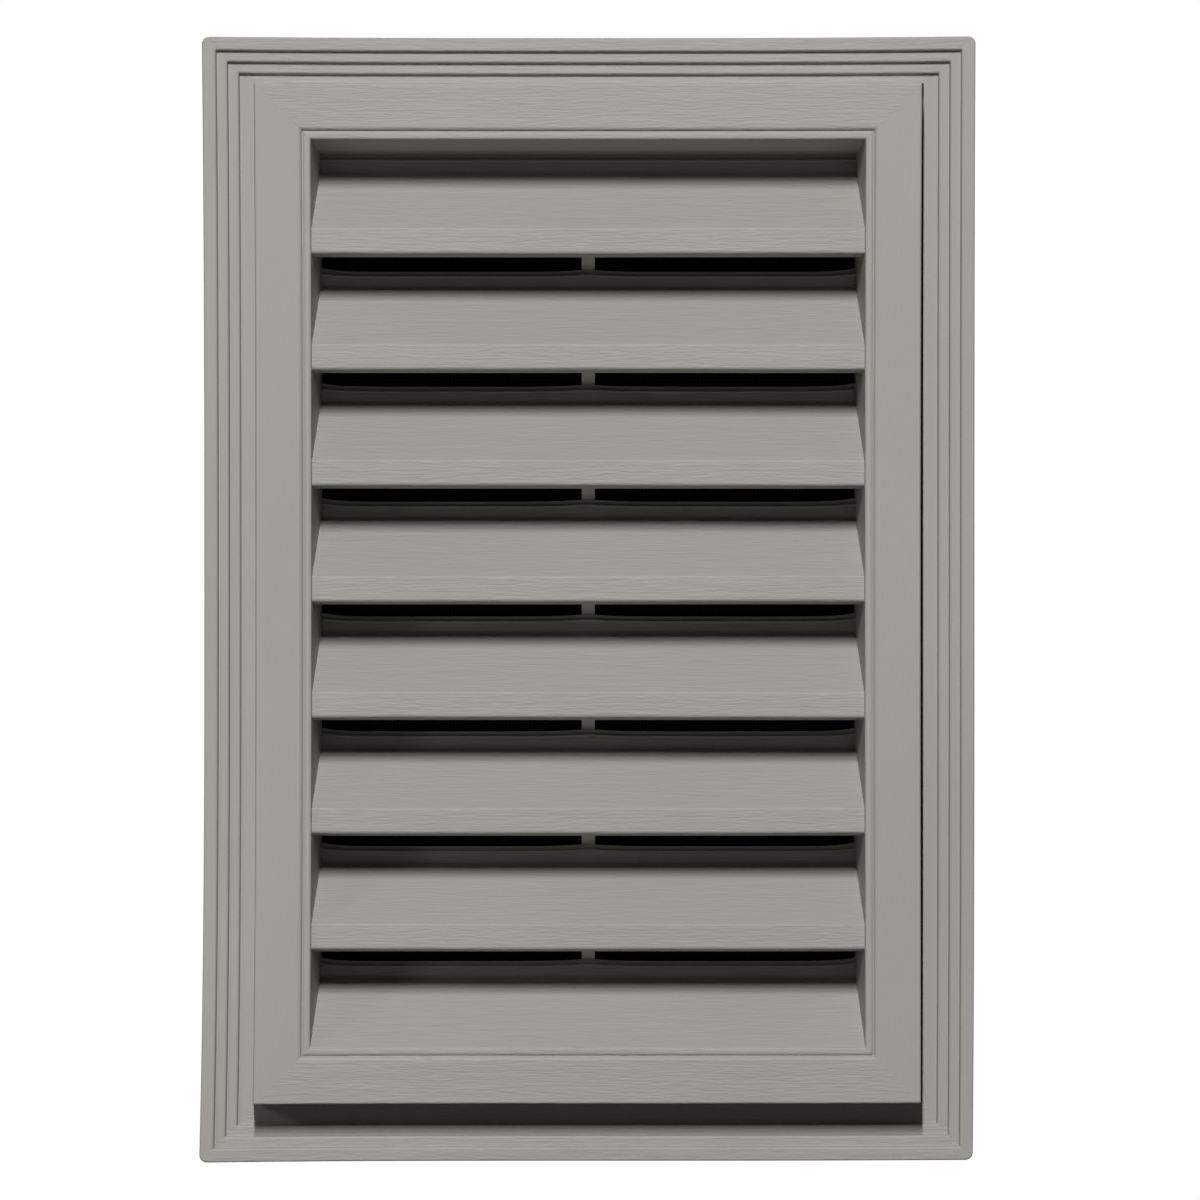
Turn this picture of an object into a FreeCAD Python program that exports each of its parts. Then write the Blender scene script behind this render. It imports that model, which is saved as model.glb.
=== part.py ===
import FreeCAD, Part
import math
import os

import Sketcher
from FreeCAD import Vector

# A rectangular gable vent: a moulding with a raised frame and slats, a stepped border ring that covers its
# flange, and a fly screen staked to the back of the slats.
# X is to the right, Z is up and the vent faces -Y. The wall that it is fixed to lies in the plane Y = 0.

doc = FreeCAD.newDocument("gable_vent")
sizes = doc.addObject("Spreadsheet::Sheet", "Sizes")
layout = doc.addObject("App::VarSet", "Layout")

# Driving sizes in millimetres, degrees or counts
driving = {
    # Border ring around the raised frame: an outer band and bands that step down towards the frame
    "overall_width": 353.6,
    "overall_height": 514.8,
    "edge_height": 23.5,
    "corner_radius": 3.4,
    "edge_radius": 0.8,
    "outer_band": 6.1,
    "inner_band": 5.1,
    "step_drop": 2.55,
    "step_draft": 10.0,
    "step_radius": 0.6,
    "wall": 2.4,
    "ring_gap": 0.4,
    # Raised frame, which leaves more of the border free below than above, and its flange under the border
    "side_border": 24.4,
    "head_border": 21.9,
    "sill_border": 27.1,
    "face_height": 40.0,
    "frame_draft": 1.5,
    "flange_thickness": 2.0,
    "frame_radius": 1.0,
    "face_width": 21.0,
    "groove_depth": 1.8,
    "groove_run": 0.7,
    "shoulder_radius": 2.0,
    "bead_width": 4.5,
    "bead_drop": 0.9,
    "bead_radius": 1.0,
    "bead_flank": 1.1,
    "flank_radius": 1.2,
    "opening_draft": 4.6,
    "collar_reach": 12.0,
    # Slats: the slope, the lip with its return, and the upstand that closes the back of the slope
    "slat_count": 8,
    "slat_wall": 2.2,
    "louvre_depth": 37.4,
    "lip_setback": 3.8,
    "lip_height": 12.7,
    "lip_radius": 1.8,
    "lip_return": 11.0,
    "lip_drip": 1.1,
    "slot_gap": 4.7,
    "upstand_height": 8.1,
    "upstand_wall": 2.4,
    "upstand_strip": 2.1,
    "upstand_step": 1.0,
    "foot_radius": 2.4,
    "head_gap": 5.0,
    "sill_gap": 3.2,
    "rib_width": 6.0,
    # Screen and the stakes that hold it
    "screen_thickness": 0.6,
    "screen_clearance": 0.8,
    "stake_diameter": 3.0,
    "stake_head": 5.6,
    "stake_head_height": 1.1,
    "stake_head_slope": 35.0,
    "stake_clearance": 0.15,
    "stake_inset": 16.0,
    # Stiffening webs across the hollow behind the border and the frame
    "web_thickness": 1.8,
    "web_inset": 1.0,
    "side_web_count": 5,
    "side_web_end": 42.9,
    "rail_web_count": 3,
    "rail_web_end": 52.4,
}
for line, (alias, number) in enumerate(driving.items(), 1):
    cell = "A%d" % line
    sizes.set(cell, str(number))
    sizes.setAlias(cell, alias)
doc.recompute()


def derive(name, formula):
    """Keep a size that follows from the driving ones."""
    layout.addProperty("App::PropertyFloat", name)
    layout.setExpression(name, formula)
    doc.recompute()


def value(formula):
    """Work out a formula of sizes as a plain number."""
    return float(layout.evalExpression(formula))


derive("edge_x", "-Sizes.overall_width / 2")
derive("edge_z", "Sizes.overall_height / 2")
derive("edge_y", "-Sizes.edge_height")
derive("step_run", "Sizes.step_drop * tan(Sizes.step_draft)")
derive("land_start", "Sizes.outer_band + 2 * Sizes.inner_band")
derive("land_y", "Layout.edge_y + 3 * Sizes.step_drop")
derive("frame_width", "Sizes.overall_width - 2 * Sizes.side_border")
derive("frame_height", "Sizes.overall_height - Sizes.head_border - Sizes.sill_border")
derive("frame_lift", "(Sizes.sill_border - Sizes.head_border) / 2")
derive("frame_x", "-Layout.frame_width / 2")
derive("frame_top", "Layout.frame_lift + Layout.frame_height / 2")
derive("frame_bottom", "Layout.frame_lift - Layout.frame_height / 2")
derive("face_y", "-Sizes.face_height")
derive("base_y", "Layout.land_y + Sizes.wall")
derive("frame_lean", "tan(Sizes.frame_draft)")
derive("land_flare", "(Layout.base_y - Layout.face_y) * Layout.frame_lean")
derive("flange_y", "-Sizes.flange_thickness")
derive("flange_flare", "(Layout.flange_y - Layout.face_y) * Layout.frame_lean")
derive("back_flare", "Sizes.face_height * Layout.frame_lean")
derive("least_border", "min(Sizes.side_border; Sizes.head_border; Sizes.sill_border)")
derive("most_border", "max(Sizes.side_border; Sizes.head_border; Sizes.sill_border)")
derive("flange_reach", "Layout.least_border - Sizes.wall - Sizes.ring_gap")
derive("ring_clear", "Layout.back_flare + Sizes.ring_gap")
derive("land_end", "Layout.most_border + 2 * Sizes.wall")
derive("bead_end", "Sizes.face_width + Sizes.bead_width")
derive("bead_y", "Layout.face_y + Sizes.bead_drop")
derive("taper", "tan(Sizes.opening_draft)")
derive("collar_shift", "(Sizes.collar_reach - Layout.bead_y) * Layout.taper")
derive("skin", "Sizes.wall + Sizes.groove_depth / 2")
derive("skin_shift", "(Layout.skin - Sizes.bead_drop) * Layout.taper")
derive("opening_width", "Layout.frame_width - 2 * Layout.bead_end")
derive("opening_height", "Layout.frame_height - 2 * Layout.bead_end")
derive("opening_top", "Layout.frame_lift + Layout.opening_height / 2")
derive("opening_bottom", "Layout.frame_lift - Layout.opening_height / 2")
derive("lip_y", "Layout.face_y + Sizes.lip_setback")
derive("foot_y", "Layout.lip_y + Sizes.louvre_depth")
derive("seat_y", "Layout.foot_y + Sizes.upstand_wall")
derive("slot_step", "Sizes.lip_height + Sizes.slot_gap")
derive(
    "pitch",
    "(Layout.opening_height - Sizes.head_gap - Sizes.sill_gap + Layout.slot_step) / Sizes.slat_count",
)
derive("rise", "Layout.pitch - Layout.slot_step - Sizes.upstand_height")
derive("first_top", "Layout.opening_top - Sizes.head_gap")
derive("first_foot", "Layout.first_top - Sizes.upstand_height")
derive("first_lip", "Layout.first_foot - Layout.rise")
derive("lip_bottom", "Layout.first_lip - Sizes.lip_height")
derive("slope", "Layout.rise / Sizes.louvre_depth")
derive("slat_drop", "Sizes.slat_wall * sqrt(1 + Layout.slope ^ 2)")
derive("last_top", "Layout.first_top - (Sizes.slat_count - 1) * Layout.pitch")
derive("last_foot", "Layout.last_top - Sizes.upstand_height")
derive("sill_y", "Layout.bead_y + Sizes.bead_radius / 2")
derive("sill_z", "Layout.opening_bottom + Sizes.bead_radius / 4")
derive("sill_slope", "(Layout.last_foot - Layout.sill_z) / (Layout.foot_y - Layout.sill_y)")
derive("sill_drop", "Sizes.slat_wall * sqrt(1 + Layout.sill_slope ^ 2)")
derive("side_web_span", "Layout.frame_height - 2 * Sizes.side_web_end")
derive("rail_web_span", "Layout.frame_width - 2 * Sizes.rail_web_end")


def plane_of(body, role):
    """Find one of a body's own origin planes or axes."""
    return next(f for f in body.Origin.OriginFeatures if f.Role == role)


def new_body(name):
    body = doc.addObject("PartDesign::Body", name)
    body.AllowCompound = True
    return body


def new_sketch(body, name, role, offset=""):
    sketch = body.newObject("Sketcher::SketchObject", name)
    sketch.AttachmentSupport = [(plane_of(body, role), "")]
    sketch.MapMode = "FlatFace"
    if offset:
        sketch.setExpression("AttachmentOffset.Base.z", offset)
    return sketch


def fix(sketch, index, place, x, y):
    """Hold one point of a sketch at two formulas."""
    for kind, formula in (("DistanceX", x), ("DistanceY", y)):
        number = sketch.addConstraint(Sketcher.Constraint(kind, -1, 1, index, place, value(formula)))
        sketch.setExpression("Constraints[%d]" % number, formula)


def outline(sketch, corners):
    """Draw a closed outline through corners of two formulas and, for a rounded corner, a radius."""
    count = len(corners)
    points = [Vector(value(c[0]), value(c[1]), 0) for c in corners]
    leave = list(points)
    arrive = list(points)
    for i, corner in enumerate(corners):
        if len(corner) > 2:
            back = (points[i - 1] - points[i]).normalize()
            on = (points[(i + 1) % count] - points[i]).normalize()
            reach = value(corner[2]) / math.tan(back.getAngle(on) / 2)
            arrive[i] = points[i] + back * reach
            leave[i] = points[i] + on * reach
    for i in range(count):
        sketch.addGeometry(Part.LineSegment(leave[i], arrive[(i + 1) % count]))
    for i, corner in enumerate(corners):
        before = (i - 1) % count
        if len(corner) == 2:
            sketch.addConstraint(Sketcher.Constraint("Coincident", before, 2, i, 1))
            fix(sketch, i, 1, corner[0], corner[1])
            continue
        mark = sketch.addGeometry(Part.Point(points[i]), True)
        fix(sketch, mark, 1, corner[0], corner[1])
        sketch.addConstraint(Sketcher.Constraint("PointOnObject", mark, 1, before))
        sketch.addConstraint(Sketcher.Constraint("PointOnObject", mark, 1, i))
        inward = (arrive[i] + leave[i]) * 0.5 - points[i]
        radius = value(corner[2])
        depth = math.hypot((arrive[i] - points[i]).Length, radius)
        centre = points[i] + inward.normalize() * depth
        middle = centre + (points[i] - centre).normalize() * radius
        arc = sketch.addGeometry(Part.Arc(arrive[i], middle, leave[i]))
        starts = (sketch.getPoint(arc, 1) - arrive[i]).Length < radius * 0.01
        first, last = (1, 2) if starts else (2, 1)
        sketch.addConstraint(Sketcher.Constraint("Tangent", before, 2, arc, first))
        sketch.addConstraint(Sketcher.Constraint("Tangent", arc, last, i, 1))
        number = sketch.addConstraint(Sketcher.Constraint("Radius", arc, radius))
        sketch.setExpression("Constraints[%d]" % number, corner[2])


def rectangle(sketch, x, bottom, top):
    """Draw a rectangle that is centred on X."""
    left = "-(%s)" % x
    outline(sketch, [(left, bottom), (x, bottom), (x, top), (left, top)])


def pad(body, name, sketch, length, middle=True):
    feature = body.newObject("PartDesign::Pad", name)
    feature.Profile = sketch
    feature.setExpression("Length", length)
    feature.SideType = "Symmetric" if middle else "One side"
    sketch.Visibility = False
    doc.recompute()
    return feature


def row(body, name, features, role, reverse, length, count):
    """Repeat features in a row along one of the body's axes."""
    pattern = body.newObject("PartDesign::LinearPattern", name)
    pattern.Originals = features
    pattern.Direction = (plane_of(body, role), [""])
    pattern.Reversed = reverse
    pattern.setExpression("Length", length)
    pattern.setExpression("Occurrences", count)
    body.Tip = pattern
    doc.recompute()
    return pattern


def carry_round(body, name, corners, x, bottom, top):
    """Carry a section around a rectangle, with mitred corners."""
    path = new_sketch(body, name + "_path", "XZ_Plane")
    rectangle(path, x, bottom, top)
    section = new_sketch(body, name + "_section", "XY_Plane")
    outline(section, corners)
    doc.recompute()
    pipe = body.newObject("PartDesign::AdditivePipe", name)
    pipe.Profile = section
    pipe.Spine = (path, ["Edge1", "Edge2", "Edge3", "Edge4"])
    pipe.Transition = "Right corner"
    doc.recompute()
    return pipe


# Border ring: a skirt that stands on the wall, an outer band, two narrower ones and the land at the frame
border = new_body("border")
skirt_x = "Layout.edge_x + Sizes.wall"
step_1 = "Layout.edge_x + Sizes.outer_band"
step_2 = "Layout.edge_x + Sizes.outer_band + Sizes.inner_band"
step_3 = "Layout.edge_x + Layout.land_start"
border_section = [
    ("Layout.edge_x", "0"),
    ("Layout.edge_x", "Layout.edge_y"),
    (step_1, "Layout.edge_y", "Sizes.step_radius"),
    (step_1 + " + Layout.step_run", "Layout.edge_y + Sizes.step_drop"),
    (step_2, "Layout.edge_y + Sizes.step_drop", "Sizes.step_radius"),
    (step_2 + " + Layout.step_run", "Layout.edge_y + 2 * Sizes.step_drop"),
    (step_3, "Layout.edge_y + 2 * Sizes.step_drop", "Sizes.step_radius"),
    (step_3 + " + Layout.step_run", "Layout.land_y"),
    ("Layout.edge_x + Layout.land_end", "Layout.land_y"),
    ("Layout.edge_x + Layout.land_end", "Layout.base_y"),
    (step_3, "Layout.base_y"),
    (skirt_x, "Layout.edge_y + 1.2 * Sizes.wall"),
    (skirt_x, "0"),
]
carry_round(
    border, "border_sweep", border_section, "-Layout.edge_x", "-Layout.edge_z", "Layout.edge_z"
)


touching = 0.01


def upright_edges(shape, x, z):
    """Name the edges that run along Y at the four corners of a rectangle centred on X and Z."""
    names = []
    for number, edge in enumerate(shape.Edges, 1):
        box = edge.BoundBox
        straight = box.XLength < touching and box.ZLength < touching
        if straight and abs(abs(box.XMin) - x) < touching and abs(abs(box.ZMin) - z) < touching:
            names.append("Edge%d" % number)
    return names


def round_off(body, name, names, radius):
    base = body.Tip
    feature = body.newObject("PartDesign::Fillet", name)
    feature.Base = (base, names)
    feature.setExpression("Radius", radius)
    body.Tip = feature
    doc.recompute()
    return feature


corner_x = value("-Layout.edge_x")
corner_z = value("Layout.edge_z")
round_off(border, "corner_rounds", upright_edges(border.Shape, corner_x, corner_z), "Sizes.corner_radius")
rim = []
for number, edge in enumerate(border.Shape.Edges, 1):
    box = edge.BoundBox
    level = box.YLength < touching and abs(box.YMin - value("Layout.edge_y")) < touching
    far_x = max(abs(box.XMin), abs(box.XMax)) > corner_x - touching
    far_z = max(abs(box.ZMin), abs(box.ZMax)) > corner_z - touching
    if level and (far_x or far_z):
        rim.append("Edge%d" % number)
round_off(border, "edge_rounds", rim, "Sizes.edge_radius")

# The land stops just clear of the frame's outer wall
frame_space = doc.addObject("Part::Box", "frame_clearance")
clear = "Layout.land_flare + Sizes.ring_gap"
frame_space.setExpression("Length", "Layout.frame_width + 2 * (" + clear + ")")
frame_space.setExpression("Height", "Layout.frame_height + 2 * (" + clear + ")")
frame_space.setExpression("Width", "Sizes.face_height")
frame_space.setExpression("Placement.Base.x", "Layout.frame_x - (" + clear + ")")
frame_space.setExpression("Placement.Base.y", "Layout.face_y")
frame_space.setExpression("Placement.Base.z", "Layout.frame_bottom - (" + clear + ")")
open_border = doc.addObject("Part::Cut", "open_border")
open_border.Base = border
open_border.Tool = frame_space
doc.recompute()

# Raised frame: flange on the wall, outer wall, flat face, groove, bead and the collar in the wall opening
frame = new_body("frame")
face_end = "Layout.frame_x + Sizes.face_width"
groove_x = face_end + " + Sizes.groove_run"
bead_edge = "Layout.frame_x + Layout.bead_end"
frame_section = [
    ("Layout.frame_x - Layout.flange_reach", "0"),
    ("Layout.frame_x - Layout.flange_reach", "Layout.flange_y"),
    ("Layout.frame_x - Layout.flange_flare", "Layout.flange_y"),
    ("Layout.frame_x", "Layout.face_y", "Sizes.frame_radius"),
    (face_end, "Layout.face_y", "Sizes.shoulder_radius"),
    (groove_x, "Layout.face_y + Sizes.groove_depth"),
    (groove_x + " + Sizes.bead_flank", "Layout.bead_y", "Sizes.flank_radius"),
    (bead_edge, "Layout.bead_y", "Sizes.bead_radius"),
    (bead_edge + " + Layout.collar_shift", "Sizes.collar_reach"),
    (bead_edge + " + Layout.collar_shift - Sizes.wall", "Sizes.collar_reach"),
    (bead_edge + " + Layout.skin_shift - Sizes.wall", "Layout.face_y + Layout.skin"),
    ("Layout.frame_x + Sizes.wall", "Layout.face_y + Layout.skin"),
    ("Layout.frame_x + Sizes.wall - Layout.back_flare", "0"),
]
carry_round(
    frame, "frame_ring", frame_section, "-Layout.frame_x", "Layout.frame_bottom", "Layout.frame_top"
)

# One slat, seen from the side: upstand, slope, lip and the return under the lip
slats = new_body("slats")
across = "Layout.opening_width + 2 * Sizes.wall"
inner_lip = "Layout.lip_y + Sizes.slat_wall"
strip_y = "Layout.foot_y + Sizes.upstand_step"
return_end = "Layout.lip_y + Sizes.lip_return"
lip_edge = "Layout.lip_bottom + Sizes.lip_drip"
slat_section = new_sketch(slats, "slat_section", "YZ_Plane")
outline(
    slat_section,
    [
        (strip_y, "Layout.first_top"),
        (strip_y, "Layout.first_top - Sizes.upstand_strip"),
        ("Layout.foot_y", "Layout.first_top - Sizes.upstand_strip"),
        ("Layout.foot_y", "Layout.first_foot", "Sizes.foot_radius"),
        ("Layout.lip_y", "Layout.first_lip"),
        ("Layout.lip_y", lip_edge, "Sizes.lip_radius"),
        (return_end, "Layout.lip_bottom"),
        (return_end, "Layout.lip_bottom + Sizes.slat_wall"),
        (inner_lip, lip_edge + " + Sizes.slat_wall"),
        (inner_lip, "Layout.first_lip + Sizes.slat_wall * Layout.slope - Layout.slat_drop"),
        (
            "Layout.seat_y",
            "Layout.first_foot + Sizes.upstand_wall * Layout.slope - Layout.slat_drop",
        ),
        ("Layout.seat_y", "Layout.first_top"),
    ],
)
slat = pad(slats, "slat", slat_section, across)

# The centre rib fills the space behind each slat and bridges its slot
rib_section = new_sketch(slats, "rib_section", "YZ_Plane")
outline(
    rib_section,
    [
        (return_end, "Layout.lip_bottom"),
        (strip_y, "Layout.lip_bottom - Sizes.slot_gap"),
        ("Layout.seat_y", "Layout.lip_bottom - Sizes.slot_gap"),
        ("Layout.seat_y", "Layout.first_foot"),
        ("Layout.lip_y + Sizes.slat_wall / 2", "Layout.first_lip - Sizes.slat_wall / 6"),
        ("Layout.lip_y + Sizes.slat_wall / 2", lip_edge + " + Sizes.slat_wall / 2"),
    ],
)
rib = pad(slats, "rib", rib_section, "Sizes.rib_width")
row(
    slats,
    "slat_row",
    [slat, rib],
    "Z_Axis",
    True,
    "Layout.pitch * (Sizes.slat_count - 2)",
    "Sizes.slat_count - 1",
)

# The lowest slat has no lip and runs straight down to the bead of the sill
sill_section = new_sketch(slats, "sill_section", "YZ_Plane")
outline(
    sill_section,
    [
        (strip_y, "Layout.last_top"),
        (strip_y, "Layout.last_top - Sizes.upstand_strip"),
        ("Layout.foot_y", "Layout.last_top - Sizes.upstand_strip"),
        ("Layout.foot_y", "Layout.last_foot", "Sizes.foot_radius"),
        ("Layout.sill_y", "Layout.sill_z"),
        ("Layout.sill_y", "Layout.sill_z - Sizes.wall / 2"),
        ("Layout.sill_y + 2 * Sizes.wall", "Layout.sill_z - Sizes.wall / 2"),
        (
            "Layout.seat_y",
            "Layout.last_foot + Sizes.upstand_wall * Layout.sill_slope - Layout.sill_drop",
        ),
        ("Layout.seat_y", "Layout.last_top"),
    ],
)
pad(slats, "sill_slat", sill_section, across)
sill_rib_section = new_sketch(slats, "sill_rib_section", "YZ_Plane")
outline(
    sill_rib_section,
    [
        ("Layout.seat_y", "Layout.last_foot"),
        ("Layout.sill_y + 2 * Sizes.wall", "Layout.sill_z"),
        ("Layout.sill_y + 2 * Sizes.wall", "Layout.sill_z - Sizes.wall / 2"),
        ("Layout.seat_y", "Layout.sill_z - Sizes.wall / 2"),
    ],
)
pad(slats, "sill_rib", sill_rib_section, "Sizes.rib_width")

# Under the head a sloped soffit runs back to the top of the first upstand
head_section = new_sketch(slats, "head_section", "YZ_Plane")
outline(
    head_section,
    [
        ("Layout.bead_y + Sizes.bead_radius", "Layout.opening_top"),
        (strip_y, "Layout.first_top"),
        ("Layout.seat_y", "Layout.first_top"),
        ("Layout.seat_y", "Layout.opening_top + Sizes.wall"),
        ("Layout.bead_y + Sizes.bead_radius", "Layout.opening_top + Sizes.wall"),
    ],
)
pad(slats, "head_soffit", head_section, across)

# Stakes on the back of each upstand, melted over to buttons that hold the screen
stake_z = "Layout.first_top - Sizes.upstand_height / 2"
stake_out = "Layout.opening_width / 2 - Sizes.stake_inset"
stake_places = ["-(" + stake_out + ")", stake_out]


def circles(sketch, diameter):
    """Draw one circle at each stake of the top row."""
    for place in stake_places:
        radius = value(diameter) / 2
        centre = Vector(value(place), value(stake_z), 0)
        index = sketch.addGeometry(Part.Circle(centre, Vector(0, 0, 1), radius))
        fix(sketch, index, 3, place, stake_z)
        number = sketch.addConstraint(Sketcher.Constraint("Diameter", index, 2 * radius))
        sketch.setExpression("Constraints[%d]" % number, diameter)


post_sketch = new_sketch(slats, "post_sketch", "XZ_Plane", "-(Layout.foot_y + Sizes.upstand_step)")
circles(post_sketch, "Sizes.stake_diameter")
post_length = "Sizes.upstand_wall - Sizes.upstand_step + Sizes.screen_thickness"
posts = pad(slats, "posts", post_sketch, post_length + " + Sizes.stake_head_height / 2", False)
posts.Reversed = True
button_sketch = new_sketch(slats, "button_sketch", "XZ_Plane", "-(Layout.seat_y + Sizes.screen_thickness)")
circles(button_sketch, "Sizes.stake_head")
buttons = pad(slats, "buttons", button_sketch, "Sizes.stake_head_height", False)
buttons.Reversed = True
buttons.setExpression("TaperAngle", "-Sizes.stake_head_slope")
doc.recompute()
row(
    slats,
    "stake_rows",
    [posts, buttons],
    "Z_Axis",
    True,
    "Layout.pitch * (Sizes.slat_count - 1)",
    "Sizes.slat_count",
)

# The slats end inside the drafted walls of the opening
well = doc.addObject("Part::Wedge", "well")
half_wall = "Sizes.wall / 2"
well.setExpression("Ymin", "Layout.bead_y")
well.setExpression("Ymax", "Sizes.collar_reach")
well.setExpression("Xmin", "-Layout.opening_width / 2 - " + half_wall)
well.setExpression("Xmax", "Layout.opening_width / 2 + " + half_wall)
well.setExpression("Zmin", "Layout.opening_bottom - " + half_wall)
well.setExpression("Zmax", "Layout.opening_top + " + half_wall)
well.setExpression("X2min", "-Layout.opening_width / 2 - " + half_wall + " + Layout.collar_shift")
well.setExpression("X2max", "Layout.opening_width / 2 + " + half_wall + " - Layout.collar_shift")
well.setExpression("Z2min", "Layout.opening_bottom - " + half_wall + " + Layout.collar_shift")
well.setExpression("Z2max", "Layout.opening_top + " + half_wall + " - Layout.collar_shift")
fitted_slats = doc.addObject("Part::Common", "fitted_slats")
fitted_slats.Base = slats
fitted_slats.Tool = well
doc.recompute()

# Stiffening webs: in the frame from outer wall to collar, in the ring from skirt to the land's edge
side_web_start = "Layout.frame_lift - Layout.side_web_span / 2"
rail_web_start = "-Layout.rail_web_span / 2"


def frame_web(sign, edge, frame_edge):
    """List the corners of a web in the frame, each as a place across the border and a Y, free of the edge."""
    web_y = "-Sizes.web_inset"
    top_y = "Layout.face_y + (Sizes.groove_depth + Layout.skin) / 2"
    wall = "%s %s Sizes.wall / 2" % (frame_edge, sign)
    collar = "%s %s (Layout.bead_end - Sizes.wall / 2)" % (frame_edge, sign)
    lean = "(%s - Layout.bead_y) * Layout.taper" % web_y
    return [(wall, web_y), (wall, top_y), (collar, top_y), ("%s %s %s" % (collar, sign, lean), web_y)]


def ring_web(sign, edge, frame_edge):
    """List the corners of a web in the border ring, which ends just above the flange."""
    rest_y = "Layout.flange_y - Sizes.ring_gap"
    skirt = "%s %s Sizes.wall / 2" % (edge, sign)
    inner = "%s %s -Layout.ring_clear" % (frame_edge, sign)
    under_land = "Layout.land_y + Sizes.wall / 2"
    return [
        (skirt, rest_y),
        (skirt, "Layout.edge_y + Sizes.wall / 2"),
        ("%s %s Layout.land_start" % (edge, sign), under_land),
        (inner, under_land),
        (inner, rest_y),
    ]


def web(body, name, role, start, corners):
    """Pad one web at the start of its row."""
    sketch = new_sketch(body, name + "_section", role, start)
    outline(sketch, corners)
    return pad(body, name, sketch, "Sizes.web_thickness")


def web_rows(label, corners):
    """Make a body of webs: a row up each side, and a row along the head and the sill."""
    body = new_body(label)
    left = corners("+", "Layout.edge_x", "Layout.frame_x")
    right = corners("-", "-Layout.edge_x", "-Layout.frame_x")
    head = [(y, z) for z, y in corners("-", "Layout.edge_z", "Layout.frame_top")]
    sill = [(y, z) for z, y in corners("+", "-Layout.edge_z", "Layout.frame_bottom")]
    sides = [
        web(body, label + "_left", "XY_Plane", side_web_start, left),
        web(body, label + "_right", "XY_Plane", side_web_start, right),
    ]
    row(body, label + "_sides", sides, "Z_Axis", False, "Layout.side_web_span", "Sizes.side_web_count")
    rails = [
        web(body, label + "_head", "YZ_Plane", rail_web_start, head),
        web(body, label + "_sill", "YZ_Plane", rail_web_start, sill),
    ]
    row(body, label + "_rails", rails, "X_Axis", False, "Layout.rail_web_span", "Sizes.rail_web_count")
    return body


def fuse(name, shapes):
    """Join shapes into one moulding."""
    moulding = doc.addObject("Part::MultiFuse", name)
    moulding.Shapes = shapes
    moulding.Refine = True
    doc.recompute()
    return moulding


vent_body = fuse("vent_body", [frame, fitted_slats, web_rows("frame_webs", frame_web)])
border_ring = fuse("border_ring", [open_border, web_rows("ring_webs", ring_web)])

# Fly screen: one sheet on the back of the upstands, with a hole for each stake
insect_screen = new_body("insect_screen")
derive("screen_lean", "(Layout.seat_y + Sizes.screen_thickness - Layout.bead_y) * Layout.taper")
derive("screen_shift", "Layout.screen_lean + Sizes.screen_clearance")
screen_sketch = new_sketch(insect_screen, "screen_outline", "XZ_Plane", "-Layout.seat_y")
rectangle(
    screen_sketch,
    "Layout.opening_width / 2 - Layout.screen_shift",
    "Layout.opening_bottom + Layout.screen_shift",
    "Layout.opening_top - Layout.screen_shift",
)
sheet = pad(insect_screen, "sheet", screen_sketch, "Sizes.screen_thickness", False)
sheet.Reversed = True
hole_sketch = new_sketch(insect_screen, "hole_sketch", "XZ_Plane", "-Layout.seat_y")
circles(hole_sketch, "Sizes.stake_diameter + 2 * Sizes.stake_clearance")
holes = insect_screen.newObject("PartDesign::Pocket", "holes")
holes.Profile = hole_sketch
holes.Type = "ThroughAll"
holes.SideType = "Symmetric"
doc.recompute()
row(
    insect_screen,
    "hole_rows",
    [holes],
    "Z_Axis",
    True,
    "Layout.pitch * (Sizes.slat_count - 1)",
    "Sizes.slat_count",
)
doc.recompute()

for item in doc.Objects:
    if "Invalid" in item.State or "Error" in item.State:
        raise RuntimeError("%s did not build: %s" % (item.Name, item.State))
os.makedirs("parts", exist_ok=True)
for node in (vent_body, border_ring, insect_screen):
    if node.Shape.isNull() or not node.Shape.isValid():
        raise RuntimeError("%s has no sound shape" % node.Label)
    node.Shape.exportStep("parts/%s.step" % node.Label)
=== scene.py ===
import math

import bpy
import numpy as np
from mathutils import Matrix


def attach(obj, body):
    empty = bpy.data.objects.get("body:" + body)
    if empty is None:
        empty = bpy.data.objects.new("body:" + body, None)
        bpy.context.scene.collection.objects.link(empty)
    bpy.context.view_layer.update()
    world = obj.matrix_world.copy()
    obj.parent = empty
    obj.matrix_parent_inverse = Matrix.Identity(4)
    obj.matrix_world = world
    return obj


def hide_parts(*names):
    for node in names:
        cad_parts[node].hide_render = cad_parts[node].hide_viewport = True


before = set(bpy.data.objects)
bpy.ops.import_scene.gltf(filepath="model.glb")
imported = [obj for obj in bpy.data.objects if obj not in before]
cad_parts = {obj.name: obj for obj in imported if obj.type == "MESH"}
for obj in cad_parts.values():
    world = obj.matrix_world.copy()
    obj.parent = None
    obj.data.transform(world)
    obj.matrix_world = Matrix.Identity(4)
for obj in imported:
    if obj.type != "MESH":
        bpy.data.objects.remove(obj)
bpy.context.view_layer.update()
scene = bpy.context.scene
scene.view_settings.view_transform = "Standard"

# Sizes of the vent in millimetres. X is to the right, Z is up, the vent faces -Y, the wall is Y = 0.
MM = 0.001

# The outline and the stepped border ring. Drafts are in degrees.
HALF_WIDTH = 176.8
HALF_HEIGHT = 257.4
CORNER_RADIUS = 3.4
LEAST_CORNER = 0.5
EDGE_Y = -23.5
EDGE_RADIUS = 0.8
STEP_DROP = 2.55
STEP_DRAFT = 10.0
STEP_RUN = STEP_DROP * math.tan(math.radians(STEP_DRAFT))
STEP_RADIUS = 1.1
BAND_ENDS = (6.1, 11.2, 16.3)
WALL = 2.4
EDGE_WALL = 1.2 * WALL
RING_GAP = 0.4
SIDE_BORDER = 24.4
HEAD_BORDER = 21.9
SILL_BORDER = 27.1

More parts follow.
